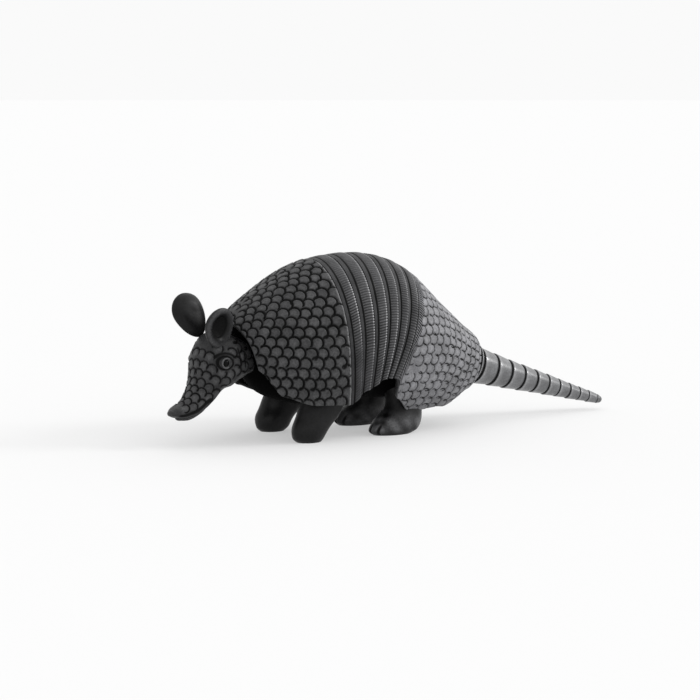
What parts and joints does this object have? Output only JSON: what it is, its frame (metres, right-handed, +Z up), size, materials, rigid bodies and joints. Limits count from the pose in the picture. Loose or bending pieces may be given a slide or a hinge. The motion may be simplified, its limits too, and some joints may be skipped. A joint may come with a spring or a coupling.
{
  "type": "armadillo figurine",
  "caption": "Hand-built black clay armadillo figurine with carved scale shields, ribbed arched bands, upright ears and a ringed tapering tail.",
  "frame": {"origin": "middle of the figure's bounding box, on the surface it stands on", "axes": "+X from the head towards the tail, +Y the animal's right side, +Z up"},
  "size_m": [0.2872, 0.085, 0.1008],
  "materials": {
    "burnished_clay": "burnished before firing, satin",
    "smoked_clay": "smoke-blackened, matt",
    "eye_pellet": "polished"
  },
  "bodies": {
    "root": {"shoulder_shield": "burnished_clay", "band_1": "burnished_clay", "band_2": "burnished_clay", "band_3": "burnished_clay", "band_4": "burnished_clay", "band_5": "burnished_clay", "band_6": "burnished_clay", "rump_shield": "burnished_clay", "trunk": "smoked_clay", "front_left_leg": "smoked_clay", "front_right_leg": "smoked_clay", "rear_left_leg": "smoked_clay", "rear_right_leg": "smoked_clay", "head": "smoked_clay", "lower_jaw": "smoked_clay", "left_ear": "smoked_clay", "left_eyelid": "smoked_clay", "left_eye": "eye_pellet", "right_ear": "smoked_clay", "right_eyelid": "smoked_clay", "right_eye": "eye_pellet", "tail_core": "smoked_clay", "tail_collar": "burnished_clay", "tail_ring_1": "burnished_clay", "tail_ring_2": "burnished_clay", "tail_ring_3": "burnished_clay", "tail_ring_4": "burnished_clay", "tail_ring_5": "burnished_clay", "tail_ring_6": "burnished_clay", "tail_ring_7": "burnished_clay", "tail_ring_8": "burnished_clay", "tail_ring_9": "burnished_clay", "tail_ring_10": "burnished_clay", "tail_tip": "burnished_clay"}
  },
  "joints": []
}
